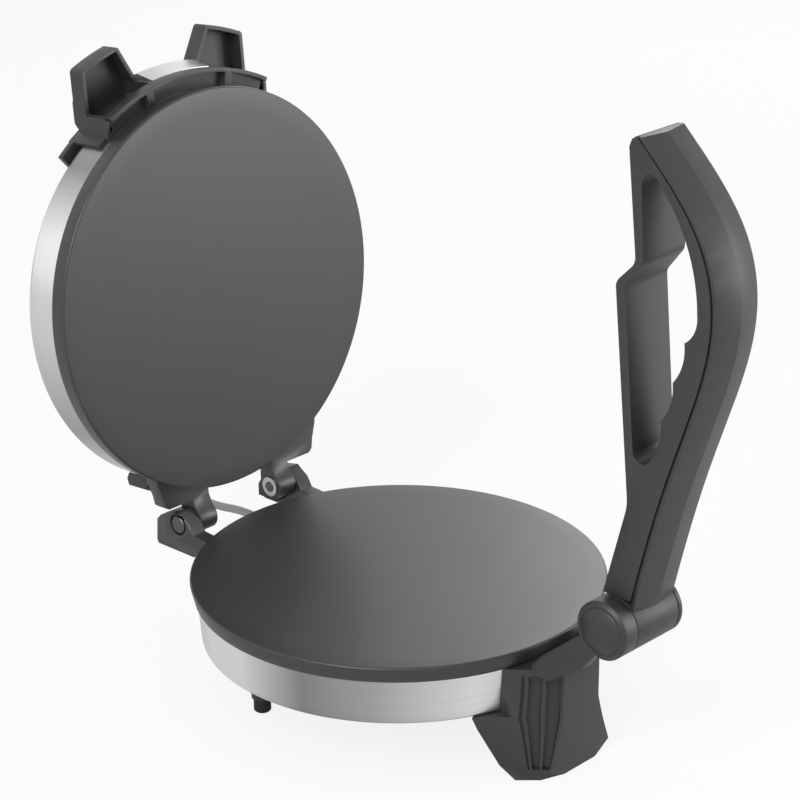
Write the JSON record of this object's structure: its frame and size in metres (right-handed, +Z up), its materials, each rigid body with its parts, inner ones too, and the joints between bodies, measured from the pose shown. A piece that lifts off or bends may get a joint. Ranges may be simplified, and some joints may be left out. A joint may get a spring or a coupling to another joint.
{
  "type": "electric roti maker",
  "caption": "Round electric flatbread press with two hinged cooking plates, steel shells, a faceted front leg and an upright looped pressing lever.",
  "frame": {"origin": "middle of the footprint, on the counter that the feet stand on", "axes": "+Z up, +Y towards the rear hinge, -Y towards the pressing lever, +X to the right of a user who faces the lever"},
  "size_m": [0.2198, 0.403, 0.3404],
  "materials": {
    "cooking_plate": "cast aluminium with a dark satin non-stick coating",
    "steel_shell": "stainless sheet, brushed round the body",
    "moulding": "black heat-resistant moulding, satin",
    "rubber": "matt",
    "flex_sleeve": "sleeved flex, satin",
    "screw_steel": "plated steel",
    "pin_steel": "turned steel",
    "element_steel": "sheathed element, dull",
    "pressed_steel": "plated pressing",
    "ceramic": "glazed ceramic",
    "bush_brass": "sintered"
  },
  "bodies": {
    "base": {"base_plate": "cooking_plate", "base_shell": "steel_shell", "base_cover": "moulding", "foot_pads": "rubber", "cover_screws": "screw_steel", "base_heater": "element_steel", "base_heater_clamp": "pressed_steel", "base_clamp_screws": "screw_steel", "thermostat": "pressed_steel", "terminal_block": "ceramic", "cord_gland": "rubber", "front_leg": "moulding", "leg_screws": "screw_steel", "lever_pin": "pin_steel", "pivot_caps": "moulding", "hinge_pins": "pin_steel", "pin_clips": "screw_steel", "base_link_grommet": "rubber", "link_cable": "flex_sleeve"},
    "lever": {"lever_frame": "moulding", "lever_back": "moulding", "lever_screws": "screw_steel", "lever_bushes": "bush_brass"},
    "lid": {"lid_plate": "cooking_plate", "lid_shell": "steel_shell", "lid_posts": "pin_steel", "lid_screws": "screw_steel", "lid_bracket": "moulding", "bracket_screws": "screw_steel", "lid_rear_brackets": "moulding", "lid_link_grommet": "rubber", "lid_heater": "element_steel", "lid_heater_clamp": "pressed_steel", "lid_clamp_screws": "screw_steel", "lid_thermal_fuse": "pressed_steel"}
  },
  "joints": [
    {"name": "lid_hinge", "type": "hinge", "parent": "base", "child": "lid", "pos_m": [0, 0.1333, 0.07095], "axis": [1, 0, 0], "range_deg": [0, 95.1], "deforming": ["link_cable"]},
    {"name": "lever_pivot", "type": "hinge", "parent": "base", "child": "lever", "pos_m": [0, -0.1465, 0.0965], "axis": [-1, 0, 0], "range_deg": [0, 79]}
  ]
}
